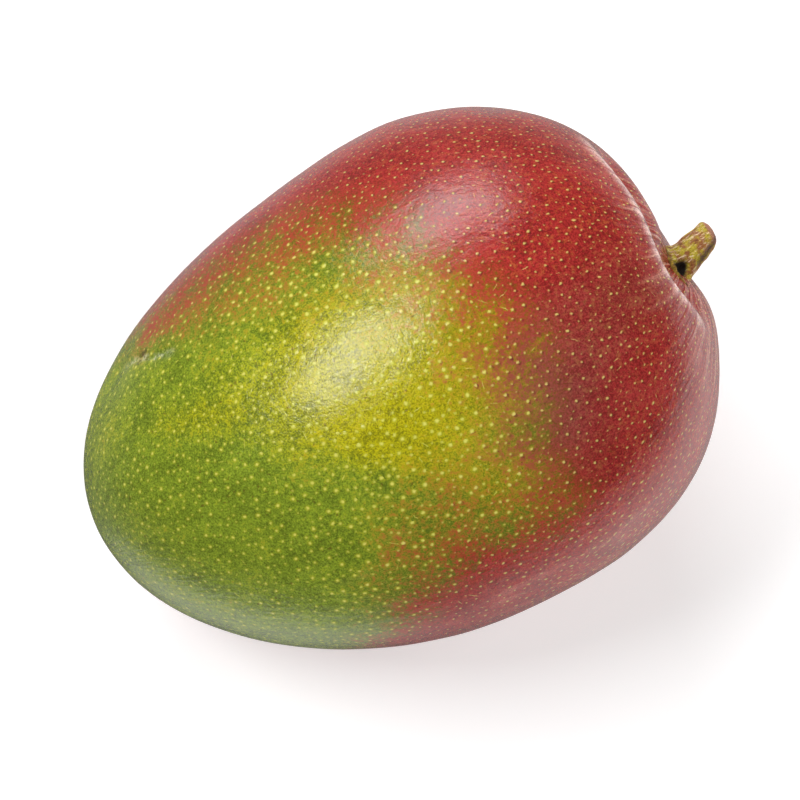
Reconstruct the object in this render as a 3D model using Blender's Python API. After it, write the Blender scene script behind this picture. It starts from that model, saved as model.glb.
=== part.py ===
"""Mango, whole, lying on one cheek, with the stub of its stalk.

Two pieces: the fruit, which grew as one body, and the woody stem stub in the
dish at its thick end. The fruit's own frame has +X along the fruit towards the
stem, +Y towards the edge that the beak leans to, and +Z through the upper
cheek, with its centre at the fruit's widest place.
"""

import math

import bmesh
import bpy
from mathutils import Vector

# The fruit, in metres.
WIDTH = 0.0898  # from edge to edge, across the cheeks
THICKNESS = 0.0775  # from cheek to cheek
TIP_REACH = 0.0730  # from the widest place to the tip
SHOULDER_REACH = 0.0432  # from the widest place to the shoulders
SHOULDER_FULLNESS = 0.76  # 1 is a plain ellipse, and less is a squarer shoulder
TURN_FROM_TIP = 0.35  # how near the widest place the tip's curve becomes the shoulder's
BEAK_LEAN = 0.0034  # how far the tip leans to +Y
BEAK_FROM = 0.45  # share of the tip's reach where the lean starts
BEAK_CURL = 1.6  # above 1, the lean grows towards the tip
WAIST_BOW = 0.0005  # how far the middle bows to -Y
WAIST_AT = -0.0220
WAIST_LENGTH = 0.0180

# Hollows and lobes of its skin: (across, up) from the axis, how wide and how deep.
DISH_AT = (-0.0012, 0.0030)
DISH_RADIUS = 0.0085
DISH_DEPTH = 0.0018
LOBE_AT = (-0.0115, 0.0)
LOBE_RADIUS = 0.0090
LOBE_HEIGHT = 0.0011
SADDLE_AT = (0.0095, 0.0)
SADDLE_RADIUS = 0.0065
SADDLE_DEPTH = 0.0013
DIP_AT = (-0.0050, 0.0115)
DIP_RADIUS = 0.0060
DIP_DEPTH = 0.0023
STEM_END_FROM, STEM_END_ALL = 0.005, 0.022  # where these start along the fruit, and hold in full

# A valley behind the near shoulder: an arc round a middle, between two angles from +Y to +Z.
VALLEY_MIDDLE = (0.0020, -0.0080)
VALLEY_RADIUS = 0.0232
VALLEY_WIDTH = 0.0030
VALLEY_DEPTH = 0.0018
VALLEY_START = (26, 56)  # degrees where it begins to fade in, and is whole
VALLEY_END = (124, 142)  # degrees where it begins to fade out, and is gone

# A dent near the tip.
NOTCH_AT = (-0.0555, 0.0245, 0.0130)
NOTCH_RADIUS = 0.0050
NOTCH_DEPTH = 0.0009

# How it lies: nose down a little, on a small flat spot of its lower cheek.
NOSE_DOWN = math.radians(7.0)
FLAT_SPOT_DEPTH = 0.0005

# The stem stub, in metres, along its own axis from the skin at its foot.
STEM_SEAT = (0.0408, -0.0034, 0.0022)  # the foot's place in the fruit's frame
STEM_LENGTH = 0.0092
STEM_FOOT_RADIUS = 0.0040
STEM_END_RADIUS = 0.0025
STEM_LEAN = 0.33  # sideways run to +Y for each metre along
ROOT_RADIUS = 0.0029
ROOT_DEPTH = 0.0022
COLLAR_RADIUS = 0.0049
COLLAR_THICKNESS = 0.0009
COLLAR_EDGE = 0.0004  # how far the collar's edges draw in
STUB_TAPER = ((0.30, 0.25), (0.55, 0.65), (0.85, 1.0))  # (share of length, share of taper)
STUB_END = ((0.96, 0.82), (1.0, 0.45), (1.0, 0.0))  # (share of length, share of end radius)
SOCKET_CHAMFER = 0.0005
FIT_GAP = 0.0003  # between the stem and the fruit

FRUIT_GRID = 25  # cuts along each side of the cube that becomes the fruit
STEM_SIDES = 24
SHARP_FROM = math.radians(40)  # edges bent more than this are shaded sharp
MERGE_WITHIN = 1e-6

SKIN_COLOUR = (0.33, 0.19, 0.05)
SKIN_ROUGHNESS = 0.38
WOOD_COLOUR = (0.30, 0.22, 0.05)
WOOD_ROUGHNESS = 0.7


def ramp(low, high, value):
    """0 below low, 1 above high, and a smooth rise between."""
    share = min(max((value - low) / (high - low), 0.0), 1.0)
    return share * share * (3 - 2 * share)


def hill(distance, radius):
    """1 at the middle, fading smoothly to nearly 0 at twice the radius."""
    return math.exp(-((distance / radius) ** 2))


def skin_point(direction):
    """The fruit's skin in a direction from its centre, before its hollows."""
    stemward = ramp(-TURN_FROM_TIP, TURN_FROM_TIP, direction.x)
    reach = TIP_REACH + (SHOULDER_REACH - TIP_REACH) * stemward
    fullness = 1 + (SHOULDER_FULLNESS - 1) * stemward
    off_axis = max(math.hypot(direction.y, direction.z), 1e-9)
    spread = off_axis**fullness / off_axis
    along = direction.x * reach
    tipward = max(-along / TIP_REACH - BEAK_FROM, 0) / (1 - BEAK_FROM)
    bow = WAIST_BOW * hill(along - WAIST_AT, WAIST_LENGTH)
    across = direction.y * spread * WIDTH / 2 + BEAK_LEAN * tipward**BEAK_CURL - bow
    return Vector((along, across, direction.z * spread * THICKNESS / 2))


def hollows(point):
    """How far the skin stands out of skin_point's shape here, in metres."""
    dent = NOTCH_DEPTH * hill((point - Vector(NOTCH_AT)).length, NOTCH_RADIUS)
    spot = Vector((point.y, point.z))
    height = LOBE_HEIGHT * hill((spot - Vector(LOBE_AT)).length, LOBE_RADIUS)
    height -= DISH_DEPTH * hill((spot - Vector(DISH_AT)).length, DISH_RADIUS)
    height -= SADDLE_DEPTH * hill((spot - Vector(SADDLE_AT)).length, SADDLE_RADIUS)
    height -= DIP_DEPTH * hill((spot - Vector(DIP_AT)).length, DIP_RADIUS)
    from_middle = spot - Vector(VALLEY_MIDDLE)
    angle = math.degrees(math.atan2(from_middle.y, from_middle.x))
    whole = ramp(*VALLEY_START, angle) * (1 - ramp(*VALLEY_END, angle))
    height -= VALLEY_DEPTH * whole * hill(from_middle.length - VALLEY_RADIUS, VALLEY_WIDTH)
    return height * ramp(STEM_END_FROM, STEM_END_ALL, point.x) - dent


def make_material(name, colour, roughness):
    material = bpy.data.materials.new(name)
    material.use_nodes = True
    shader = material.node_tree.nodes["Principled BSDF"]
    shader.inputs["Base Color"].default_value = (*colour, 1)
    shader.inputs["Roughness"].default_value = roughness
    shader.inputs["Metallic"].default_value = 0
    return material


def add_object(name, shape, material):
    """An object of this name from a bmesh, shaded smooth."""
    bmesh.ops.recalc_face_normals(shape, faces=shape.faces)
    mesh = bpy.data.meshes.new(name)
    shape.to_mesh(mesh)
    shape.free()
    mesh.materials.append(material)
    mesh.shade_smooth()
    mesh.set_sharp_from_angle(angle=SHARP_FROM)
    added = bpy.data.objects.new(name, mesh)
    bpy.context.collection.objects.link(added)
    return added


def fruit_shape():
    """A cube cut into a grid, rounded to a sphere and drawn out to the fruit."""
    shape = bmesh.new()
    bmesh.ops.create_cube(shape, size=2)
    bmesh.ops.subdivide_edges(shape, edges=shape.edges, cuts=FRUIT_GRID, use_grid_fill=True)
    for vertex in shape.verts:
        even = Vector([math.tan(c * math.pi / 4) for c in vertex.co])
        vertex.co = skin_point(even.normalized())
    shape.normal_update()
    moves = [hollows(v.co) * v.normal for v in shape.verts]
    for vertex, move in zip(shape.verts, moves):
        vertex.co += move
    return shape


def cut_flat_spot(shape):
    """Cuts the lower cheek level with the surface that the fruit lies on."""
    down = Vector((-math.sin(NOSE_DOWN), 0, -math.cos(NOSE_DOWN)))
    lowest = max(v.co.dot(down) for v in shape.verts)
    bmesh.ops.bisect_plane(
        shape,
        geom=[*shape.verts, *shape.edges, *shape.faces],
        plane_co=down * (lowest - FLAT_SPOT_DEPTH),
        plane_no=down,
        clear_outer=True,
    )
    rim = [e for e in shape.edges if e.is_boundary]
    bmesh.ops.edgeloop_fill(shape, edges=rim)
    return lowest - FLAT_SPOT_DEPTH


def turned_shape(profile, sides):
    """A closed solid turned about +X from (distance along, radius) points."""
    shape = bmesh.new()
    points = [shape.verts.new((along, radius, 0)) for along, radius in profile]
    edges = [shape.edges.new(pair) for pair in zip(points, points[1:])]
    bmesh.ops.spin(
        shape,
        geom=[*points, *edges],
        cent=(0, 0, 0),
        axis=(1, 0, 0),
        angle=math.tau,
        steps=sides,
        use_merge=True,
    )
    bmesh.ops.remove_doubles(shape, verts=shape.verts, dist=MERGE_WITHIN)
    return shape


def stem_shape():
    """The stub with its root and collar, leaning a little to +Y."""
    taper = STEM_FOOT_RADIUS - STEM_END_RADIUS
    collar_low = FIT_GAP * 2
    collar_top = collar_low + COLLAR_THICKNESS
    profile = [
        (-ROOT_DEPTH, 0),
        (-ROOT_DEPTH, ROOT_RADIUS),
        (FIT_GAP, ROOT_RADIUS),
        (collar_low, COLLAR_RADIUS - COLLAR_EDGE),
        (collar_low + COLLAR_THICKNESS / 2, COLLAR_RADIUS),
        (collar_top, COLLAR_RADIUS - COLLAR_EDGE),
        (collar_top + COLLAR_EDGE / 2, STEM_FOOT_RADIUS + COLLAR_EDGE / 2),
    ]
    profile += [(STEM_LENGTH * run, STEM_FOOT_RADIUS - taper * share) for run, share in STUB_TAPER]
    profile += [(STEM_LENGTH * run, STEM_END_RADIUS * share) for run, share in STUB_END]
    shape = turned_shape(profile, STEM_SIDES)
    for vertex in shape.verts:
        vertex.co.y += STEM_LEAN * max(vertex.co.x - COLLAR_THICKNESS, 0)
    return shape


def cut_socket(fruit):
    """The hole that the stem's root sits in, with the fit gap all round."""
    cutter = add_object(
        "socket_cutter",
        turned_shape(
            [
                (-ROOT_DEPTH - FIT_GAP, 0),
                (-ROOT_DEPTH - FIT_GAP, ROOT_RADIUS + FIT_GAP),
                (0, ROOT_RADIUS + FIT_GAP),
                (SOCKET_CHAMFER, COLLAR_RADIUS + FIT_GAP),
                (STEM_LENGTH, COLLAR_RADIUS + FIT_GAP),
                (STEM_LENGTH, 0),
            ],
            STEM_SIDES,
        ),
        fruit.data.materials[0],
    )
    cutter.location = STEM_SEAT
    cutter.parent = fruit
    cutter.hide_render = True
    cutter.display_type = "WIRE"
    socket = fruit.modifiers.new("stem socket", "BOOLEAN")
    socket.object = cutter
    socket.solver = "EXACT"


def stand_on_ground(fruit, stem, depth):
    """Tips the fruit nose down and sets the origin under the middle of its box."""
    fruit.rotation_euler.y = -NOSE_DOWN
    fruit.location.z = depth
    bpy.context.view_layer.update()
    along = [(o.matrix_world @ v.co).x for o in (fruit, stem) for v in o.data.vertices]
    across = [(fruit.matrix_world @ v.co).y for v in fruit.data.vertices]
    fruit.location.x -= (min(along) + max(along)) / 2
    fruit.location.y -= (min(across) + max(across)) / 2


def main():
    for old in list(bpy.data.objects):
        bpy.data.objects.remove(old)

    body = fruit_shape()
    depth = cut_flat_spot(body)
    fruit = add_object("fruit", body, make_material("skin", SKIN_COLOUR, SKIN_ROUGHNESS))
    wood = make_material("stem wood", WOOD_COLOUR, WOOD_ROUGHNESS)
    stem = add_object("stem", stem_shape(), wood)
    stem.location = STEM_SEAT
    stem.parent = fruit
    cut_socket(fruit)
    stand_on_ground(fruit, stem, depth)


main()
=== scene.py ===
import math

import bmesh
import bpy
import numpy as np
from mathutils import Matrix, Vector, kdtree, noise


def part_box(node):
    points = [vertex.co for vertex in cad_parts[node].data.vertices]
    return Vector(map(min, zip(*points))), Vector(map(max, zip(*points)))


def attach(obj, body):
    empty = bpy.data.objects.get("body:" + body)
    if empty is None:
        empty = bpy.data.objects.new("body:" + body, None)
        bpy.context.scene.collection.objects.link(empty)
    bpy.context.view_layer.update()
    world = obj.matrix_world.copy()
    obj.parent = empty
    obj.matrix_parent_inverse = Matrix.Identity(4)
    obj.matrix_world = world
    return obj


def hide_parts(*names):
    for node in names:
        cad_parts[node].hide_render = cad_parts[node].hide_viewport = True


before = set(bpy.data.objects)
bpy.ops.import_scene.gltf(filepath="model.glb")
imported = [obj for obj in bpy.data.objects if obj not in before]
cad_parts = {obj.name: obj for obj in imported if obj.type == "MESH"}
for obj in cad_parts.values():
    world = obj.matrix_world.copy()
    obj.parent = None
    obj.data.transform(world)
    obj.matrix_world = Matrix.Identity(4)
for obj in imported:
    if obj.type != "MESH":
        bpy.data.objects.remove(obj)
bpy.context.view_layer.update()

# ---------------------------------------------------------------- the fruit's body
# The mango grew as one piece of flesh and waxy skin: a blunt tip with a small beak, two full
# cheeks, and broad shoulders round the shallow dish where the stem sits. It lies nose down
# on a small flat spot, and nothing holds it there.

# Lengths are in millimetres in the fruit's own frame, whose middle is its widest place:
# +X runs towards the stem, +Y towards the edge the beak leans to, +Z to the upper cheek.
MM = 1000   # millimetres in a metre
FRUIT_LOW, FRUIT_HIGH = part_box("fruit")
WIDTH = (FRUIT_HIGH.y - FRUIT_LOW.y) * MM
THICKNESS = WIDTH * 0.863
TIP_REACH = 73.0
SHOULDER_REACH = 43.2
SHOULDER_FULLNESS = 0.76   # below 1 the shoulders are squarer than an ellipsoid's
BEAK_LEAN, BEAK_FROM, BEAK_CURL = 3.4, 0.45, 1.6
WAIST_BOW, WAIST_AT, WAIST_LENGTH = 0.5, -22.0, 18.0
NOSE_DOWN = math.radians(7)
FLAT_SPOT_DEPTH = 0.5
FLAT_SPOT_ROUNDING = 0.1
STEM_SEAT = (40.8, -3.4, 2.2)
GRID_CUTS = 119            # cuts along each edge of the cube the skin starts from

# Swellings and hollows of the stem end: height, middle across, middle up, radius.
DISH = (-1.8, -1.2, 3.0, 8.5)
FAR_LOBE = (1.1, -11.5, 0.0, 9.0)
SADDLE = (-1.3, 9.5, 0.0, 6.5)
DIP_DEPTH, DIP_ACROSS, DIP_UP, DIP_HALF_WIDTH, DIP_HALF_HEIGHT = 2.9, -5.0, 11.5, 5.6, 6.5

# The valley behind the near shoulder and the ridge outside it are arcs round one middle.
VALLEY_MIDDLE = (2.0, -8.0)
VALLEY_DEPTH, VALLEY_RADIUS, VALLEY_WIDTH = 1.8, 23.2, 3.0
RIDGE_HEIGHT, RIDGE_RADIUS, RIDGE_WIDTH = 0.30, 28.6, 2.0
NOTCH_AT, NOTCH_DEPTH, NOTCH_RADIUS = (-55.5, 24.5, 13.0), 0.9, 5.0
SCAR_DEPTH, SCAR_WIDTH = 0.30, 0.9
SCAR = (
    (-55.5, 26.3, 12.5),
    (-53.0, 25.6, 15.5),
    (-50.3, 25.0, 18.8),
    (-47.5, 23.0, 21.5),
    (-44.3, 22.0, 24.5),
)


def smooth_step(low, high, value):
    share = np.clip((value - low) / (high - low), 0, 1)
    return share * share * (3 - 2 * share)


def hill(distance, radius):
    """1 at the middle, fading smoothly to nearly 0 at twice the radius."""
    return np.exp(-((distance / radius) ** 2))


def rounded_body(direction):
    """The skin without its hollows, from unit directions out of the fruit's middle."""
    stemward = smooth_step(-0.35, 0.35, direction[:, 0])
    reach = TIP_REACH + (SHOULDER_REACH - TIP_REACH) * stemward
    fullness = 1 + (SHOULDER_FULLNESS - 1) * stemward
    off_axis = np.maximum(np.hypot(direction[:, 1], direction[:, 2]), 1e-9)
    spread = off_axis**fullness / off_axis
    along = direction[:, 0] * reach
    tipward = np.maximum(-along / TIP_REACH - BEAK_FROM, 0) / (1 - BEAK_FROM)
    bow = WAIST_BOW * hill(along - WAIST_AT, WAIST_LENGTH)
    across = direction[:, 1] * spread * WIDTH / 2 + BEAK_LEAN * tipward**BEAK_CURL - bow
    return np.stack([along, across, direction[:, 2] * spread * THICKNESS / 2], axis=1)


def lumps(places, size, seed):
    """Smooth noise from -1 to 1 at places, whose swellings are about size across."""
    offset = Vector((seed * 7.3, seed * 3.1, -seed * 5.7))
    return np.array([noise.noise(Vector(p) / size + offset) for p in places])


def from_line(places, start, end):
    """How far places are from the straight line between two points."""
    line = np.subtract(end, start)
    share = np.clip((places - start) @ line / (line @ line), 0, 1)
    return np.linalg.norm(places - (start + share[:, None] * line), axis=1)


def round_the_valley(across, up):
    """Degrees round the valley's middle, and the wavering distance in mm from it."""
    across, up = across - VALLEY_MIDDLE[0], up - VALLEY_MIDDLE[1]
    degrees = np.degrees(np.arctan2(across, up))
    return degrees, np.hypot(across, up) + 0.8 * np.sin(degrees / 9)


def skin_relief(places):
    """How far the skin stands out of the rounded body, less where it is hollow."""
    along, across, up = places.T
    relief = np.zeros(len(places))
    for height, middle_across, middle_up, radius in (DISH, FAR_LOBE, SADDLE):
        relief += height * hill(np.hypot(across - middle_across, up - middle_up), radius)
    dip = np.hypot((across - DIP_ACROSS) / DIP_HALF_WIDTH, (up - DIP_UP) / DIP_HALF_HEIGHT)
    relief -= DIP_DEPTH * hill(dip, 1)
    degrees, distance = round_the_valley(across, up)
    in_valley = smooth_step(-52, -34, degrees) * smooth_step(64, 34, degrees)
    relief -= VALLEY_DEPTH * in_valley * hill(distance - VALLEY_RADIUS, VALLEY_WIDTH)
    relief += RIDGE_HEIGHT * in_valley * hill(distance - RIDGE_RADIUS, RIDGE_WIDTH)
    relief *= smooth_step(5, 22, along)
    relief -= NOTCH_DEPTH * hill(np.linalg.norm(places - NOTCH_AT, axis=1), NOTCH_RADIUS)
    for start, end in zip(SCAR, SCAR[1:]):
        relief -= SCAR_DEPTH * hill(from_line(places, start, end), SCAR_WIDTH)
    relief += 0.22 * lumps(places, 22, 1) + 0.05 * lumps(places, 6, 2)
    return relief


def per_point(points, name):
    """The vectors kept under a name on a mesh's points or faces, one row for each."""
    values = np.empty(len(points) * 3, np.float32)
    points.foreach_get(name, values)
    return values.reshape(-1, 3).astype(float)


def set_places(mesh, places):
    mesh.vertices.foreach_set("co", places.astype(np.float32).ravel())
    mesh.update()


shape = bmesh.new()
bmesh.ops.create_cube(shape, size=2)
bmesh.ops.subdivide_edges(shape, edges=shape.edges, cuts=GRID_CUTS, use_grid_fill=True)
fruit_mesh = bpy.data.meshes.new("mango_fruit")
shape.to_mesh(fruit_mesh)
shape.free()

# A cube's grid drawn out by the tangent lands on the round body in nearly even squares.
even = np.tan(per_point(fruit_mesh.vertices, "co") * math.pi / 4)
body = rounded_body(even / np.linalg.norm(even, axis=1, keepdims=True))
set_places(fruit_mesh, body)
body += per_point(fruit_mesh.vertex_normals, "vector") * skin_relief(body)[:, None]


def turned_about_y(places, angle):
    """Places or directions turned about +Y, where a positive angle tips the nose down."""
    x, y, z = places.T
    cosine, sine = math.cos(angle), math.sin(angle)
    return np.stack([x * cosine - z * sine, y, x * sine + z * cosine], axis=1)


def lying(places, shift):
    """Places in the fruit's frame, tipped nose down and moved, in the part's frame."""
    return turned_about_y(places, NOSE_DOWN) / MM + shift


tipped = lying(body, 0)
SET_DOWN = np.array([
    FRUIT_LOW.x - tipped[:, 0].min(),
    (FRUIT_LOW.y + FRUIT_HIGH.y - tipped[:, 1].min() - tipped[:, 1].max()) / 2,
    -tipped[:, 2].min() - FLAT_SPOT_DEPTH / MM,
])
skin = lying(body, SET_DOWN)

# The skin eases into the flat spot, and doesn't meet it at a corner.
rounding = FLAT_SPOT_ROUNDING / MM
skin[:, 2] = (skin[:, 2] + np.sqrt(skin[:, 2] ** 2 + rounding**2)) / 2
set_places(fruit_mesh, skin)
fruit_mesh.shade_smooth()
fruit = bpy.data.objects.new("mango_fruit", fruit_mesh)
bpy.context.collection.objects.link(fruit)
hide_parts("fruit")
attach(fruit, "root")

# ---------------------------------------------------------------- the colours of its skin
# The side that saw the sun blushed crimson, and the shaded cheek stayed yellow-green in a
# wide window that runs down to the green tip. Three soft fields of the skin say where: how
# far it has blushed, how ripe and yellow its ground is, and how dusky the blush is.


def round_from_top(places):
    """Degrees round the fruit's axis, 0 on the upper cheek and 90 on the beak's edge."""
    return np.degrees(np.arctan2(places[:, 1], places[:, 2] * WIDTH / THICKNESS))


def patch(places, along, round_at, reach, spread):
    """A soft patch of skin: its middle, and its reach along and spread round, in mm."""
    turn = (round_from_top(places) - round_at + 180) % 360 - 180
    girth = np.hypot(places[:, 1], places[:, 2] * WIDTH / THICKNESS)
    return hill(np.hypot((places[:, 0] - along) / reach, np.radians(turn) * girth / spread), 1)


def keep(mesh, name, values, place="POINT"):
    """Keeps a number or vector for each point or face of a mesh under a name."""
    kind, slot = ("FLOAT", "value") if values.ndim == 1 else ("FLOAT_VECTOR", "vector")
    kept = mesh.attributes.new(name, kind, place)
    kept.data.foreach_set(slot, values.astype(np.float32).ravel())


# The colours' edges wander, so their fields are read a few millimetres off their places.
wander = np.stack([lumps(body, 9, 3), lumps(body, 9, 4), lumps(body, 9, 5)], axis=1)
wander += 0.5 * np.stack([lumps(body, 3.5, 6), lumps(body, 3.5, 7), lumps(body, 3.5, 8)], axis=1)
drift = body + 2.0 * wander
along = drift[:, 0]
turn = round_from_top(drift)

# The window's three edges, each 0.5 on its line and rising into the red: the one towards
# the stem, the one on the beak's side, and the one low on the other flank. The largest of
# them wins, and JOIN rounds the corners where two meet.
JOIN = 0.10
LOW_EDGE, LOWEST_EDGE = -42, -120
stem_edge = 0.5 + 0.042 * (along + 0.3 * np.maximum(turn, 0) + 0.13 * np.maximum(-turn, 0) - 4.7)
beak_edge = 0.5 + 0.023 * (turn - 35 + 0.7 * (along + 12) + 2.5 * np.minimum(along + 46, 0))
low_turn = np.maximum(LOW_EDGE - 0.055 * np.minimum(along + 12, 0) ** 2, LOWEST_EDGE)
flank_edge = 0.5 + 0.023 * (low_turn - turn)
edges = np.stack([stem_edge, beak_edge, flank_edge])
blush = JOIN * np.log(np.exp(np.clip(edges, -1, 3) / JOIN).sum(axis=0))
blush = np.clip(blush, -0.25, 1.35)
blush -= 0.20 * patch(drift, 15, -12, 7, 8)
blush += 0.16 * patch(drift, -38, 48, 13, 8)
yellow_edge = smooth_step(-4, 12, turn + 1.25 * along + 52)
ripe = yellow_edge * (0.55 + 0.45 * smooth_step(-34, -16, along))
ripe *= (1 - 0.75 * smooth_step(7, 30, turn)) * (1 - 0.55 * smooth_step(-10, -30, turn))
ripe += 0.35 * patch(drift, -12, -40, 18, 12)
dusk = patch(drift, 9, -26, 14, 16) + 0.7 * patch(drift, 30, -12, 12, 10)
dusk += 0.5 * smooth_step(-70, -110, turn)
keep(fruit_mesh, "blush", blush)
keep(fruit_mesh, "ripe", ripe)
keep(fruit_mesh, "dusk", 0.65 * dusk)

# ---------------------------------------------------------------- the specks in its skin
# Lenticels are the skin's breathing pores, healed over with cork: thousands of pale specks,
# large and far apart on the cheeks, and small, close and drawn out towards the stem. Among
# them are a few hundred short rubs and scratches.

SPECK_TRIES = 60000
RUB_COUNT = 420
SMALLEST_SPECK, SPECK_SPREAD = 0.14, 0.21
RUB_HALF_WIDTH = 0.09
CLOSEST, WIDEST_EXTRA = 1.05, 0.9
rng = np.random.default_rng(11)


def scattered_on(mesh, count):
    """Places spread evenly at random over a mesh of quads, each with a corner near it."""
    corners = np.empty(len(mesh.loops), np.int32)
    mesh.loops.foreach_get("vertex_index", corners)
    quads = per_point(mesh.vertices, "co")[corners.reshape(-1, 4)]
    diagonals = quads[:, 2] - quads[:, 0], quads[:, 3] - quads[:, 1]
    areas = np.linalg.norm(np.cross(*diagonals), axis=1)
    faces = rng.choice(len(quads), count, p=areas / areas.sum())
    chosen = quads[faces]
    u, v = rng.random((2, count, 1))
    low_side = chosen[:, 0] * (1 - u) + chosen[:, 1] * u
    high_side = chosen[:, 3] * (1 - u) + chosen[:, 2] * u
    return low_side * (1 - v) + high_side * v, corners.reshape(-1, 4)[faces, 0]


def own_frame(places):
    """Places of the part's frame in the fruit's own frame, in millimetres."""
    return turned_about_y((places - SET_DOWN) * MM, -NOSE_DOWN)


def keep_apart(places, gaps):
    """The numbers of the places that stand at least their gap from each earlier one kept."""
    widest = max(gaps)
    cells, kept = {}, []
    for i, (place, gap) in enumerate(zip(places, gaps)):
        cell = tuple(int(c // widest) for c in place)
        near = [
            j
            for dx in (-1, 0, 1)
            for dy in (-1, 0, 1)
            for dz in (-1, 0, 1)
            for j in cells.get((cell[0] + dx, cell[1] + dy, cell[2] + dz), ())
        ]
        if all(math.dist(place, places[j]) > gap for j in near):
            cells.setdefault(cell, []).append(i)
            kept.append(i)
    return kept


def along_skin(places, leans):
    """Unit directions at places on the body, towards the stem, turned aside by leans."""
    out = places * (0.5, 1, 1)
    out /= np.linalg.norm(out, axis=1, keepdims=True)
    round_it = np.cross(out, (1.0, 0, 0))
    round_it /= np.maximum(np.linalg.norm(round_it, axis=1, keepdims=True), 1e-6)
    stemward = np.cross(round_it, out)
    return stemward * np.cos(leans)[:, None] + round_it * np.sin(leans)[:, None]


tries, corner = scattered_on(fruit_mesh, SPECK_TRIES)
tried = own_frame(tries)
near_stem = smooth_step(10, 34, tried[:, 0])
low_flank = smooth_step(-45, -75, round_from_top(tried)) * smooth_step(-20, 5, tried[:, 0])
drawn_out = np.maximum(near_stem * 0.7, low_flank)

# Strong specks take their places first, and keep others further off on the cheeks.
strength = rng.random(SPECK_TRIES)
order = np.argsort(-strength + 0.5 * rng.random(SPECK_TRIES))
gaps = CLOSEST + WIDEST_EXTRA * (1 - near_stem) * np.where(strength > 0.75, 1.0, 0.15)
gaps *= 1 - 0.2 * low_flank
kept = keep_apart([tuple(p) for p in tried[order]], list(gaps[order]))
chosen = order[kept]
strength = np.clip(strength[chosen] ** 1.3 + 0.12 * rng.normal(size=len(chosen)), 0.03, 1)
specks = tries[chosen]

# Half widths in mm, how pale each is, and how many times longer than wide it is drawn.
blushed = smooth_step(0.25, 0.9, np.clip(blush, 0, 1)[corner[chosen]])
near_tip = smooth_step(-22, -50, tried[chosen, 0])
speck_size = SMALLEST_SPECK + SPECK_SPREAD * strength
speck_size *= (1 - 0.25 * near_stem[chosen]) * (1 - 0.28 * blushed) * (1 - 0.3 * near_tip)
speck_glow = 0.08 + 0.92 * strength * (1 - 0.25 * blushed)
speck_pull = 1 + 0.25 * rng.random(len(chosen)) + 1.6 * drawn_out[chosen] * rng.random(len(chosen))
lean = rng.normal(0, 0.25, len(chosen))
rubs = rng.choice(len(chosen), RUB_COUNT, replace=False)
speck_size[rubs] = RUB_HALF_WIDTH
speck_glow[rubs] = 0.3 + 0.4 * rng.random(RUB_COUNT)
speck_pull[rubs] = 6 + 8 * rng.random(RUB_COUNT)
lean[rubs] = rng.uniform(-1.6, 1.6, RUB_COUNT)
heading = turned_about_y(along_skin(tried[chosen], lean), NOSE_DOWN)

# Each face of the mesh keeps the speck nearest to it, and the skin's finish draws it there.
specks_by_place = kdtree.KDTree(len(specks))
for i, place in enumerate(specks):
    specks_by_place.insert(place, i)
specks_by_place.balance()
middles = per_point(fruit_mesh.polygons, "center")
nearest = np.array([specks_by_place.find(middle)[1] for middle in middles])
for name, values in (
    ("speck", specks),
    ("speck_heading", heading),
    ("speck_size", speck_size),
    ("speck_glow", speck_glow),
    ("speck_pull", speck_pull),
):
    keep(fruit_mesh, name, values[nearest], "FACE")

# ---------------------------------------------------------------- the skin's finish
# Ripe skin is waxy and satin: a thin red layer over a yellow-green ground, stippled where
# it thins out, with pale specks, streaks that run in to the stem, and a fine peel. Some of
# its colour is painted light: a highlight on the valley's ridge, shade in its crease and
# beside each speck, and sheen on the streaks at the stem's rim.

# Places stretched along the lines of growth, which run from the tip in to the stem.
FLOW_STRETCH, FLOW_RADIUS = 0.12, 20
to_seat = smooth_step(8, 38, body[:, 0])
across, up = body[:, 1] - to_seat * STEM_SEAT[1], body[:, 2] - to_seat * STEM_SEAT[2]
girth = np.hypot(across, up) / FLOW_RADIUS
growth = np.stack([body[:, 0] * FLOW_STRETCH, across / girth, up / girth], axis=1)
keep(fruit_mesh, "flow", growth + 0.25 * wander)

# The valley's ridge with a painted highlight and its crease with painted shade, the streaks by the
# stem with painted sheen at its rim, the scar and its scab.
RIDGE_HIGHLIGHT_RADIUS, RIDGE_HIGHLIGHT_WIDTH = 28.0, 1.5
CREASE_SHADE_RADIUS, CREASE_SHADE_WIDTH = 25.6, 0.9
SCAB_AT, SCAB_RADIUS = (-49.6, 24.9, 19.6), 1.6
rough_skin = body + 0.5 * wander
degrees, distance = round_the_valley(rough_skin[:, 1], rough_skin[:, 2])
in_valley = smooth_step(-46, -34, degrees) * smooth_step(56, 36, degrees)
in_valley *= smooth_step(20, 30, body[:, 0])
# The ridge's pale line is a painted highlight.
keep(fruit_mesh, "ridge", in_valley * hill(distance - RIDGE_HIGHLIGHT_RADIUS, RIDGE_HIGHLIGHT_WIDTH))
# The crease's dark line is painted shade.
keep(fruit_mesh, "crease", in_valley * hill(distance - CREASE_SHADE_RADIUS, CREASE_SHADE_WIDTH))
less_above = 1 - 0.75 * smooth_step(5, 40, round_from_top(body))
# Streaks near the stem; the extra paleness right at the stem's rim is painted sheen.
streaks_and_sheen = smooth_step(30, 41, body[:, 0]) * less_above + 0.9 * smooth_step(35, 41, body[:, 0])
keep(fruit_mesh, "streaks_and_sheen", streaks_and_sheen + 0.4 * patch(body, -5, -80, 40, 22))
from_scar = np.min([from_line(body, *ends) for ends in zip(SCAR, SCAR[1:])], axis=0)
keep(fruit_mesh, "scar", hill(from_scar, 0.5))
keep(fruit_mesh, "scab", hill(np.linalg.norm(rough_skin - SCAB_AT, axis=1), SCAB_RADIUS))


def srgb(red, green, blue):
    """A colour given as a paint chart's 0 to 255 numbers, as the shader's linear one."""
    return (*(((c / 255 + 0.055) / 1.055) ** 2.4 for c in (red, green, blue)), 1)


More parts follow.
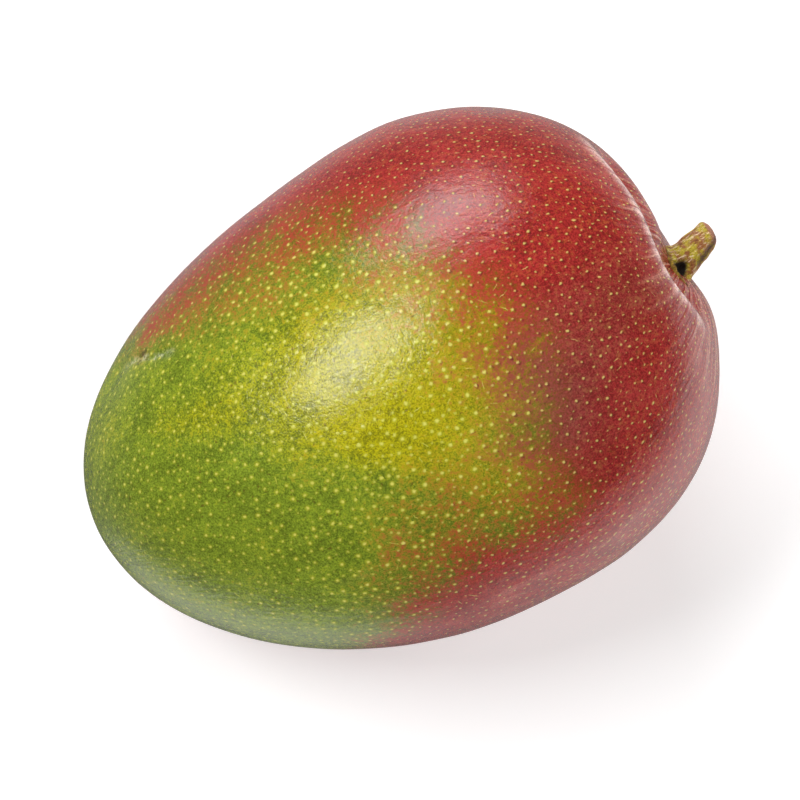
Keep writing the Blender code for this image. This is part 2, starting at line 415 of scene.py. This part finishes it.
def add(tree, kind, inputs=None, **settings):
    """A new node with its settings, and its inputs set or linked by name or number."""
    made = tree.nodes.new("ShaderNode" + kind)
    for name, value in settings.items():
        setattr(made, name, value)
    for name, value in (inputs or {}).items():
        if isinstance(value, bpy.types.NodeSocket):
            tree.links.new(value, made.inputs[name])
        else:
            made.inputs[name].default_value = value
    return made


def maths(tree, operation, first, second=0.0):
    return add(tree, "Math", {0: first, 1: second}, operation=operation).outputs[0]


def vectors(tree, operation, first, second=(0.0, 0.0, 0.0), output=0):
    return add(tree, "VectorMath", {0: first, 1: second}, operation=operation).outputs[output]


def rise(tree, value, low, high, bottom=0.0, top=1.0):
    """A smooth rise from bottom to top as value goes from low to high."""
    inputs = {"Value": value, "From Min": low, "From Max": high, "To Min": bottom, "To Max": top}
    return add(tree, "MapRange", inputs, interpolation_type="SMOOTHSTEP").outputs[0]


def blend(tree, share, first, second):
    """The first colour, passing into the second as share goes from 0 to 1."""
    return add(tree, "Mix", {0: share, 6: first, 7: second}, data_type="RGBA").outputs[2]


def scaled(tree, vector, factor):
    """A vector made longer, or a colour made lighter, by a factor."""
    return add(tree, "VectorMath", {0: vector, 3: factor}, operation="SCALE").outputs[0]


def cloud(tree, places, scale, detail, rough):
    """Noise around 0.5 at places, with scale swellings to the millimetre."""
    inputs = {"Vector": places, "Scale": scale, "Detail": detail, "Roughness": rough}
    return add(tree, "TexNoise", inputs).outputs["Fac"]


def kept_value(tree, name, output="Fac"):
    return add(tree, "Attribute", attribute_name=name).outputs[output]


def total(tree, *shares):
    """The sum of values, each given with its weight."""
    summed = 0.0
    for value, weight in shares:
        summed = maths(tree, "ADD", maths(tree, "MULTIPLY", value, weight), summed)
    return summed


def grain_group():
    """Fine grain, for every finish here: its noise, and a shade from Darkest to Lightest."""
    group = bpy.data.node_groups.new("fine_grain", "ShaderNodeTree")
    group.interface.new_socket("Place in mm", in_out="INPUT", socket_type="NodeSocketVector")
    for name in ("To the mm", "Darkest", "Lightest"):
        group.interface.new_socket(name, in_out="INPUT", socket_type="NodeSocketFloat")
    for name in ("Grain", "Shade"):
        group.interface.new_socket(name, in_out="OUTPUT", socket_type="NodeSocketFloat")
    given = group.nodes.new("NodeGroupInput").outputs
    result = group.nodes.new("NodeGroupOutput").inputs
    grain = cloud(group, given["Place in mm"], given["To the mm"], 2, 0.7)
    shade = rise(group, grain, 0.3, 0.7, given["Darkest"], given["Lightest"])
    group.links.new(grain, result["Grain"])
    group.links.new(shade, result["Shade"])
    return group


FINE_GRAIN = grain_group()


def fine_grain(tree, in_mm, to_the_mm, darkest, lightest):
    """The fine grain placed in a material: its noise and its shade."""
    values = {"Place in mm": in_mm, "To the mm": to_the_mm, "Darkest": darkest, "Lightest": lightest}
    placed = add(tree, "Group", values, node_tree=FINE_GRAIN)
    return placed.outputs["Grain"], placed.outputs["Shade"]


def broken_up(tree, name, noise, low, high, bottom, top):
    """A kept value, broken up by noise that rises from bottom to top."""
    return maths(tree, "MULTIPLY", kept_value(tree, name), rise(tree, noise, low, high, bottom, top))


def frayed(tree, name, noise, weight, low=0.0, high=1.0, top=1.0):
    """A kept value whose edge is frayed by noise, from 0 up to top."""
    field = total(tree, (kept_value(tree, name), 1.0), (noise, weight))
    return rise(tree, field, low, high, 0.0, top)


def wire_finish(tree, shader, colour, roughness, relief, strength, depth):
    """Feeds a finish's colour, roughness and fine relief, depth metres deep, to its shader."""
    tree.links.new(colour, shader.inputs["Base Color"])
    tree.links.new(roughness, shader.inputs["Roughness"])
    bump = add(tree, "Bump", {"Strength": strength, "Distance": depth, "Height": relief})
    tree.links.new(bump.outputs[0], shader.inputs["Normal"])


def new_material(name):
    """A new material, its nodes and its shader."""
    material = bpy.data.materials.new(name)
    material.use_nodes = True
    return material, material.node_tree, material.node_tree.nodes["Principled BSDF"]


def on_object(tree):
    """Where each spot is on the object, in metres."""
    return add(tree, "TexCoord").outputs["Object"]


GREEN, YELLOW = srgb(122, 141, 37), srgb(170, 163, 17)
CRIMSON, DUSKY_RED = srgb(154, 40, 38), srgb(122, 56, 49)
# Pale streaks, partly the skin's own and partly painted sheen at the stem's rim.
PALE_STREAK_AND_SHEEN, DARK_STREAK = srgb(210, 154, 132), srgb(118, 36, 30)
# A painted highlight for the valley's ridge, and painted shade for its crease.
RIDGE_HIGHLIGHT_PINK, CREASE_SHADE_BROWN = srgb(240, 200, 190), srgb(92, 46, 26)
SCAR_PALE, SCAB_BROWN, FLECK_BROWN = srgb(196, 200, 160), srgb(84, 40, 22), srgb(96, 50, 26)
HALO_ON_GREEN, HALO_ON_RED = srgb(184, 182, 44), srgb(162, 118, 44)
SPECK_ON_GREEN, SPECK_ON_RED = srgb(216, 212, 96), srgb(224, 206, 116)
# Painted shadow: the dark spot beside each speck.
SPECK_SHADOW_DARK = srgb(88, 24, 26)

skin_material, nodes, shader = new_material("mango_skin")
place = on_object(nodes)
in_mm = scaled(nodes, place, MM)
flow = kept_value(nodes, "flow", "Vector")
along_flow = add(nodes, "Mapping", {"Vector": flow, "Scale": (4, 1, 1)}).outputs[0]
broad = cloud(nodes, in_mm, 0.08, 3, 0.55)
mottle = cloud(nodes, along_flow, 0.34, 4, 0.65)
stipple = cloud(nodes, in_mm, 1.0, 3, 0.65)
grain = fine_grain(nodes, in_mm, 3.0, 0.7, 1.3)[0]
streaks = cloud(nodes, flow, 0.6, 4, 0.6)

# Blush over the ground. Noise frays it most where it thins out, and the full red is steady.
jitter = total(nodes, (broad, 0.6), (mottle, 1.1), (stipple, 1.7), (grain, 1.3))
jitter = maths(nodes, "SUBTRACT", jitter, 2.35)
steady = rise(nodes, kept_value(nodes, "blush"), 0.65, 1.1, 1.0, 0.3)
blush_here = frayed(nodes, "blush", maths(nodes, "MULTIPLY", jitter, steady), 1.0)
ground = blend(nodes, frayed(nodes, "ripe", jitter, 0.6), GREEN, YELLOW)
red = blend(nodes, frayed(nodes, "dusk", jitter, 0.6), CRIMSON, DUSKY_RED)
cover = maths(nodes, "MULTIPLY", blush_here, rise(nodes, stipple, 0.46, 0.72, 1.0, 0.90))
colour = blend(nodes, cover, ground, red)

# Streaks that run in to the stem, paler with painted sheen at its rim, the painted highlight on the
# valley's ridge and painted shade in its crease, the scar and flecks.
for share, over in (
    (broken_up(nodes, "streaks_and_sheen", streaks, 0.5, 0.78, 0.0, 0.75), PALE_STREAK_AND_SHEEN),
    (broken_up(nodes, "streaks_and_sheen", streaks, 0.46, 0.24, 0.0, 0.35), DARK_STREAK),
    (broken_up(nodes, "ridge", streaks, 0.38, 0.56, 0.15, 0.95), RIDGE_HIGHLIGHT_PINK),
    (broken_up(nodes, "crease", streaks, 0.6, 0.4, 0.1, 0.8), CREASE_SHADE_BROWN),
    (broken_up(nodes, "scar", stipple, 0.40, 0.60, 0.1, 0.8), SCAR_PALE),
    (broken_up(nodes, "scab", stipple, 0.42, 0.60, 1.0, 0.1), SCAB_BROWN),
):
    colour = blend(nodes, share, colour, over)
shade = total(nodes, (grain, 1.2), (mottle, 0.50), (stipple, 0.5))
colour = scaled(nodes, colour, rise(nodes, shade, 0.83, 1.37, 0.54, 1.46))
flecks = rise(nodes, cloud(nodes, in_mm, 1.3, 1, 0.5), 0.68, 0.77, 0, 0.5)
colour = blend(nodes, flecks, colour, FLECK_BROWN)

# The specks: how far each spot of skin is from its speck, in half widths of the speck, less
# along the way the speck is drawn out. Each has a dark spot of painted shadow to one side,
# the same side for every speck, a halo and a core.
SPECK_SHADOW_SIDE = (-0.00020, 0.00024, 0.0)
WOBBLE = 0.0004
bend = add(nodes, "TexNoise", {"Vector": in_mm, "Scale": 2.2, "Detail": 2.0}).outputs["Color"]
bend = scaled(nodes, vectors(nodes, "SUBTRACT", bend, (0.5, 0.5, 0.5)), WOBBLE)
from_speck = vectors(nodes, "SUBTRACT", place, kept_value(nodes, "speck", "Vector"))
from_speck = vectors(nodes, "ADD", from_speck, bend)
speck_mm = scaled(nodes, from_speck, MM)
heading = kept_value(nodes, "speck_heading", "Vector")
run = vectors(nodes, "DOT_PRODUCT", speck_mm, heading, "Value")
run_squared = maths(nodes, "MULTIPLY", run, run)
squared = vectors(nodes, "DOT_PRODUCT", speck_mm, speck_mm, "Value")
side_squared = maths(nodes, "SUBTRACT", squared, run_squared)
pull = kept_value(nodes, "speck_pull")
run_squared = maths(nodes, "DIVIDE", run_squared, maths(nodes, "MULTIPLY", pull, pull))
drawn_squared = maths(nodes, "MAXIMUM", maths(nodes, "ADD", run_squared, side_squared), 0.0)
size = kept_value(nodes, "speck_size")
reach = maths(nodes, "DIVIDE", maths(nodes, "SQRT", drawn_squared), size)
glow = kept_value(nodes, "speck_glow")
core = maths(nodes, "MULTIPLY", rise(nodes, reach, 0.3, 1.3, 1.0, 0.0), glow)
halo = maths(nodes, "MULTIPLY", rise(nodes, reach, 0.6, 2.6, 0.6, 0.0), glow)
halo = maths(nodes, "MULTIPLY", halo, rise(nodes, blush_here, 0.65, 1.0, 1.0, 0.12))
# Painted shadow beside each speck, offset the same way for all, on the blush only.
from_speck_shadow = scaled(nodes, vectors(nodes, "ADD", from_speck, SPECK_SHADOW_SIDE), MM)
from_speck_shadow = maths(nodes, "DIVIDE", vectors(nodes, "LENGTH", from_speck_shadow, output="Value"), size)
speck_shadow = maths(nodes, "MULTIPLY", rise(nodes, from_speck_shadow, 0.7, 2.0, 0.95, 0.0), glow)
speck_shadow = maths(nodes, "MULTIPLY", speck_shadow, blush_here)
colour = blend(nodes, speck_shadow, colour, SPECK_SHADOW_DARK)
colour = blend(nodes, halo, colour, blend(nodes, blush_here, HALO_ON_GREEN, HALO_ON_RED))
colour = blend(nodes, core, colour, blend(nodes, blush_here, SPECK_ON_GREEN, SPECK_ON_RED))

peel = cloud(nodes, along_flow, 1.3, 3, 0.55)
ripple_share = maths(nodes, "ADD", kept_value(nodes, "streaks_and_sheen"), 0.20)
ripples = maths(nodes, "MULTIPLY", streaks, ripple_share)
relief = total(nodes, (peel, 0.42), (grain, 0.16), (core, 0.12), (ripples, 1.3))
waxiness = rise(nodes, mottle, 0.3, 0.7, 0.17, 0.25)
wire_finish(nodes, shader, colour, waxiness, relief, 0.6, 0.0004)
shader.inputs["IOR"].default_value = 1.43
fruit_mesh.materials.append(skin_material)

# ---------------------------------------------------------------- the stem
# A stub of the fruit's woody stalk, snapped off short. It widens into the root sunk in the
# dish, leans aside and ends in a rounded break. One side of its foot is hollowed, and the
# hollow is painted near black as shade.

STEM_LENGTH = 9.2
STEM_LEAN, LEANS_FROM = 0.33, 0.9
STEM_RADIUS, STEM_TAPER = 3.5, 0.11
FOOT_FLARE, FOOT_AT, FOOT_LENGTH = 1.3, -0.8, 1.8
ROOT_DEPTH = 2.0
BREAK_FROM, BREAK_LENGTH = 7.6, 1.6
HOLLOW_AT, HOLLOW_TURN, HOLLOW_DEPTH = 0.7, -22, 1.35
BRUISE_TURN = -62
STEM_RINGS, STEM_SIDES = 110, 120


def turned(name, profile, sides):
    """A mesh object of a profile of (along, radius) turned full circle about +X."""
    turned_shape = bmesh.new()
    points = [turned_shape.verts.new((x, 0, radius)) for x, radius in profile]
    edges = [turned_shape.edges.new(pair) for pair in zip(points, points[1:])]
    bmesh.ops.spin(
        turned_shape, geom=points + edges, cent=(0, 0, 0), axis=(1, 0, 0),
        angle=math.tau, steps=sides, use_merge=True,
    )
    bmesh.ops.remove_doubles(turned_shape, verts=turned_shape.verts, dist=1e-5)
    bmesh.ops.recalc_face_normals(turned_shape, faces=turned_shape.faces)
    mesh = bpy.data.meshes.new(name)
    turned_shape.to_mesh(mesh)
    turned_shape.free()
    piece = bpy.data.objects.new(name, mesh)
    bpy.context.collection.objects.link(piece)
    return piece


def from_turn(y, z, middle):
    """Degrees round the stem from the line that stands at middle, from -180 to 180."""
    return (np.degrees(np.arctan2(y, z)) - middle + 180) % 360 - 180


def stub_radius(x):
    """The stem's outline: a flared foot, a slow taper and a rounded end."""
    shaft = STEM_RADIUS - STEM_TAPER * x + FOOT_FLARE * hill(x - FOOT_AT, FOOT_LENGTH)
    end = 1 - (np.maximum(x - BREAK_FROM, 0) / BREAK_LENGTH) ** 2.6
    root = 1 - 0.28 * smooth_step(FOOT_AT, -ROOT_DEPTH, x)
    return shaft * np.sqrt(np.clip(end, 0, 1)) * root


steps = np.linspace(-ROOT_DEPTH, STEM_LENGTH, STEM_RINGS)
profile = [(-ROOT_DEPTH, 0.0), *zip(steps, stub_radius(steps))]
stub = turned("mango_stem", profile, STEM_SIDES)
spots = per_point(stub.data.vertices, "co")
x, y, z = spots.T
radius = np.hypot(y, z)
from_hollow = from_turn(y, z, HOLLOW_TURN)
from_bruise = from_turn(y, z, BRUISE_TURN)
hollow = hill(np.hypot(from_hollow / 26, (x - HOLLOW_AT) / 1.5), 1)
rim = hill(np.hypot(from_hollow / 36, (x - HOLLOW_AT - 0.2) / 2.1) - 1.25, 0.32)
fibres = lumps(np.stack([x * 0.35, y, z], axis=1), 0.9, 12)
bumps = lumps(spots, 1.7, 13)
off_middle = smooth_step(0, 1, radius)
swell = 0.16 * fibres + 0.20 * bumps + 0.18 * rim - HOLLOW_DEPTH * hollow
swell -= 0.35 * hill((x - 6.8) / 1.2, 1) * hill(from_bruise / 30, 1)
widened = np.maximum(radius + off_middle * swell, 0) / np.maximum(radius, 1e-6)
x = x + 0.25 * (1 - off_middle) * fibres + 0.15 * bumps * smooth_step(7, 8.5, x)
y, z = y * widened + STEM_LEAN * np.maximum(x - LEANS_FROM, 0), z * widened
set_places(stub.data, lying(np.stack([x, y, z], axis=1) + STEM_SEAT, SET_DOWN))
stub.data.shade_smooth()
keep(stub.data, "hollow", hollow)
keep(stub.data, "bruise", hill(from_bruise / 34, 1) * smooth_step(2.6, 4.4, x))
keep(stub.data, "broken", smooth_step(7.7, 8.9, x))
keep(stub.data, "foot", 1 - smooth_step(-0.4, 1.0, x))
keep(stub.data, "flow", np.stack([x * 0.3, y, z], axis=1))
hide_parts("stem")
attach(stub, "root")

BARK_BROWN, BARK_GREEN = srgb(150, 92, 52), srgb(184, 166, 52)
FIBRE_PALE, FIBRE_DARK = srgb(240, 220, 186), srgb(88, 44, 26)
BREAK_DARK, BREAK_PALE = srgb(110, 50, 34), srgb(214, 150, 124)
# The near black is painted shade for the hollow at the stem's foot.
BRUISE_BROWN, FOOT_BROWN, HOLLOW_SHADE_BLACK = srgb(56, 22, 15), srgb(104, 70, 26), srgb(20, 12, 8)

stem_material, nodes, shader = new_material("mango_stem_wood")
in_mm = scaled(nodes, on_object(nodes), MM)
fibre = cloud(nodes, kept_value(nodes, "flow", "Vector"), 2.2, 4, 0.7)
patchy = cloud(nodes, in_mm, 0.8, 3, 0.6)
fine, fine_shade = fine_grain(nodes, in_mm, 4.5, 0.72, 1.3)
colour = blend(nodes, rise(nodes, patchy, 0.38, 0.62), BARK_BROWN, BARK_GREEN)
for share, over in (
    (rise(nodes, fibre, 0.52, 0.68, 0, 0.9), FIBRE_PALE),
    (rise(nodes, fibre, 0.48, 0.32, 0, 0.85), FIBRE_DARK),
    (frayed(nodes, "broken", patchy, 0.8, 0.7, 1.1, 0.85), blend(nodes, fine, BREAK_DARK, BREAK_PALE)),
    (frayed(nodes, "bruise", fibre, 2.0, 1.44, 2.19, 0.92), BRUISE_BROWN),
    (frayed(nodes, "foot", patchy, 0.6, 0.6, 1.2, 0.7), FOOT_BROWN),
    # The hollow painted near black as shade.
    (rise(nodes, kept_value(nodes, "hollow"), 0.15, 0.6), HOLLOW_SHADE_BLACK),
):
    colour = blend(nodes, share, colour, over)
colour = scaled(nodes, colour, fine_shade)
relief = total(nodes, (fibre, 1.0), (fine, 0.4))
wire_finish(nodes, shader, colour, rise(nodes, patchy, 0.3, 0.7, 0.55, 0.8), relief, 0.8, 0.0004)
shader.inputs["Specular IOR Level"].default_value = 0.3
stub.data.materials.append(stem_material)

# ---------------------------------------------------------------- the collar round its foot
# The withered calyx: a thin brown sheath that grips the foot of the stem with an uneven,
# torn edge, drawn out on one side into a dry point that lies down on the skin.

COLLAR_SIDES = 120
COLLAR_SINK = 0.85
COLLAR_SPREAD = 1.10
POINT_TURN, POINT_REACH = -50, 1.5
LOOSE_TURN = -45
outside = [(-0.9, 2.6), (-0.5, 3.6), (0.0, 4.3), (0.45, 4.5), (0.8, 4.35)]
inside = [(0.95, 4.05), (0.75, 3.85), (0.3, 3.75), (-0.3, 3.3), (-0.8, 2.5)]
collar = turned("mango_stem_collar", outside + inside + outside[:1], COLLAR_SIDES)
spots = per_point(collar.data.vertices, "co")
x, y, z = spots.T
radius = np.hypot(y, z)
point = hill(from_turn(y, z, POINT_TURN) / 12, 1)
loose = hill(from_turn(y, z, LOOSE_TURN) / 38, 1)
tear = lumps(np.stack([y * 0, y, z], axis=1), 1.3, 14) + 0.6 * lumps(spots, 0.6, 15)
lip = smooth_step(0.0, 0.9, x)
spread = COLLAR_SPREAD + lip * (0.18 * tear + POINT_REACH * point + 0.10 * loose) / radius
x = x + lip * 0.30 * (tear + point) - COLLAR_SINK
collar_places = np.stack([x, y * spread, z * spread], axis=1)
set_places(collar.data, lying(collar_places + STEM_SEAT, SET_DOWN))
collar.data.shade_smooth()
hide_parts("stem")
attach(collar, "root")

DRY_BROWN, DRY_STRAW = srgb(70, 40, 18), srgb(168, 136, 48)

collar_material, nodes, shader = new_material("mango_stem_bark")
in_mm = scaled(nodes, on_object(nodes), MM)
patchy = cloud(nodes, in_mm, 1.1, 4, 0.65)
colour = blend(nodes, rise(nodes, patchy, 0.36, 0.64), DRY_BROWN, DRY_STRAW)
colour = scaled(nodes, colour, fine_grain(nodes, in_mm, 4.5, 0.7, 1.3)[1])
wire_finish(nodes, shader, colour, rise(nodes, patchy, 0.3, 0.7, 0.6, 0.85), patchy, 0.7, 0.0003)
collar.data.materials.append(collar_material)

# ---------------------------------------------------------------- floor, lights and camera
# A plain sheet of matt white paper lies under the fruit. Two soft windows, a pale wall and a
# ceiling light it in a plain bright room, and the camera looks down on it from nearly overhead.

FLOOR_HALF = 3
floor_mesh = bpy.data.meshes.new("floor")
floor_shape = bmesh.new()
bmesh.ops.create_grid(floor_shape, x_segments=1, y_segments=1, size=FLOOR_HALF)
floor_shape.to_mesh(floor_mesh)
floor_shape.free()
floor = bpy.data.objects.new("floor", floor_mesh)
bpy.context.collection.objects.link(floor)
floor_material, nodes, shader = new_material("floor_paper")
shader.inputs["Base Color"].default_value = (0.9, 0.9, 0.9, 1)
shader.inputs["Roughness"].default_value = 0.9
shader.inputs["Emission Color"].default_value = (1, 1, 1, 1)
shader.inputs["Emission Strength"].default_value = 0.3
floor_mesh.materials.append(floor_material)
floor.visible_glossy = False

# The room: white cards low down to the right, the left and the back, less light from below
# the floor, and an even backdrop, which only the camera sees.
TO_RIGHT_CARD = (0.78, -0.50, -0.38)
TO_LEFT_CARD = (-0.55, -0.38, -0.74)
TO_BACK_CARD = (0.15, 0.60, -0.78)
DIMMEST, BACKDROP = 0.08, 0.72
world = bpy.data.worlds.new("studio")
bpy.context.scene.world = world
world.use_nodes = True
room = world.node_tree
background = room.nodes["Background"]
background.inputs["Color"].default_value = (1, 1, 1, 1)
way = add(room, "TexCoord").outputs["Generated"]
way_up = add(room, "SeparateXYZ", {0: way}).outputs["Z"]
to_right = rise(room, vectors(room, "DOT_PRODUCT", way, TO_RIGHT_CARD, "Value"), 0.3, 0.85, 0.25, 1.7)
to_left = rise(room, vectors(room, "DOT_PRODUCT", way, TO_LEFT_CARD, "Value"), 0.82, 0.99, 0.0, 1.6)
to_back = rise(room, vectors(room, "DOT_PRODUCT", way, TO_BACK_CARD, "Value"), 0.90, 0.99, 0.0, 0.4)
brightness = maths(room, "ADD", to_right, to_left)
brightness = maths(room, "MULTIPLY", brightness, rise(room, way_up, -0.4, 0.0, 1.0, 0.0))
brightness = maths(room, "MULTIPLY", brightness, rise(room, way_up, -1.0, -0.55, 0.30, 1.0))
brightness = maths(room, "ADD", maths(room, "ADD", brightness, to_back), DIMMEST)
seen = add(room, "LightPath").outputs["Is Camera Ray"]
brightness = maths(room, "MULTIPLY", brightness, maths(room, "SUBTRACT", 1.0, seen))
brightness = maths(room, "ADD", brightness, maths(room, "MULTIPLY", seen, BACKDROP))
room.links.new(brightness, background.inputs["Strength"])


def soft_box(name, place, long_way, size, power):
    """A flat studio light at a place, facing the fruit, its length along long_way."""
    light = bpy.data.lights.new(name, "AREA")
    light.shape = "RECTANGLE"
    light.size, light.size_y = size
    light.energy = power
    lamp = bpy.data.objects.new(name, light)
    lamp.location = place
    out = (Vector(place) - Vector((0, 0, 0.04))).normalized()
    side = Vector(long_way).cross(out).normalized()
    facing_fruit = Matrix((side.cross(out) * -1, side * -1, out)).transposed()
    lamp.rotation_mode = "QUATERNION"
    lamp.rotation_quaternion = facing_fruit.to_quaternion()
    bpy.context.collection.objects.link(lamp)
    return lamp


soft_box("near_window", (-0.34, 0.29, 0.82), (0.25, 0.5, 0.0), (0.36, 0.24), 3.7)
soft_box("far_window", (0.165, 0.69, 0.53), (0.69, -0.05, -0.24), (0.54, 0.33), 4.5)
wall = soft_box("wall", (0.38, 0.84, 0.40), (1, 0, 0), (0.5, 0.5), 0.8)
wall.visible_diffuse = False
ceiling = soft_box("ceiling", (0.6, -0.8, 1.2), (1, 0, 0), (1.6, 1.6), 17)
ceiling.visible_glossy = False

CAMERA_AZIMUTH = math.radians(-27.4)
CAMERA_ELEVATION = math.radians(80)
CAMERA_DISTANCE = 0.6
CAMERA_AIM = Vector((-0.0021, -0.0008, 0.0382))
back = Vector((
    math.sin(CAMERA_AZIMUTH) * math.cos(CAMERA_ELEVATION),
    -math.cos(CAMERA_AZIMUTH) * math.cos(CAMERA_ELEVATION),
    math.sin(CAMERA_ELEVATION),
))
camera_data = bpy.data.cameras.new("camera")
camera_data.lens = 150
camera_data.sensor_width = 36
camera = bpy.data.objects.new("camera", camera_data)
camera.location = CAMERA_AIM + back * CAMERA_DISTANCE
camera.rotation_mode = "QUATERNION"
camera.rotation_quaternion = (-back).to_track_quat("-Z", "Y")
bpy.context.collection.objects.link(camera)
bpy.context.scene.camera = camera
bpy.context.scene.view_settings.view_transform = "Standard"
